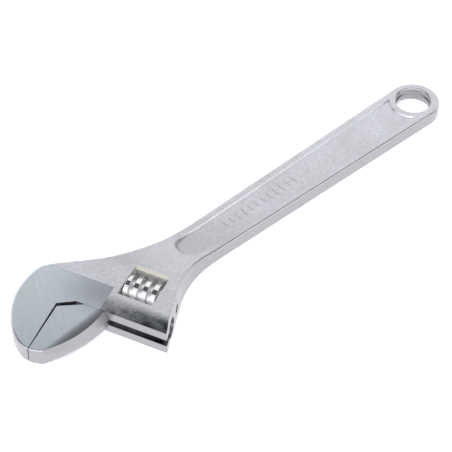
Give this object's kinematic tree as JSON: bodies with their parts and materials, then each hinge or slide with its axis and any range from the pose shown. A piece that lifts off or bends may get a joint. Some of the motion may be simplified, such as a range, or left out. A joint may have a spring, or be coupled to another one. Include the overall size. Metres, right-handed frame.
{
  "type": "adjustable wrench",
  "caption": "Adjustable wrench with a slim panelled handle, hang hole, fixed jaw, and a movable jaw driven along its slide by a knurled worm.",
  "frame": {"origin": "centre of the hang hole, on the wrench's mid plane", "axes": "+X along the handle towards the jaws, +Z out of one face along the hang hole, +Y to the side of the movable jaw"},
  "size_m": [0.2494, 0.067, 0.0158],
  "materials": {
    "forged_steel": "satin chrome plate over a tumbled forging, with ground jaws",
    "jaw_steel": "satin chrome plate, ground cheeks",
    "worm_steel": "bright chrome plate",
    "pin_steel": "plain turned steel",
    "spring_steel": "drawn spring wire"
  },
  "bodies": {
    "body": {"wrench_body": "forged_steel", "worm_pin": "pin_steel", "worm_spring": "spring_steel"},
    "jaw": {"movable_jaw": "jaw_steel"},
    "worm": {"adjusting_worm": "worm_steel"}
  },
  "joints": [
    {"name": "jaw_slide", "type": "slide", "parent": "body", "child": "jaw", "axis": [-0.3827, 0.9239, 0], "range_m": [-0.0004, 0.0295]},
    {"name": "worm_spin", "type": "hinge", "parent": "body", "child": "worm", "pos_m": [0.17816, 0.00618, 0], "axis": [-0.3827, 0.9239, 0], "range_deg": [-2420, 36]}
  ],
  "couplings": [
    {"joint": "worm_spin", "follows": "jaw_slide", "rad_per_m": -1428}
  ]
}
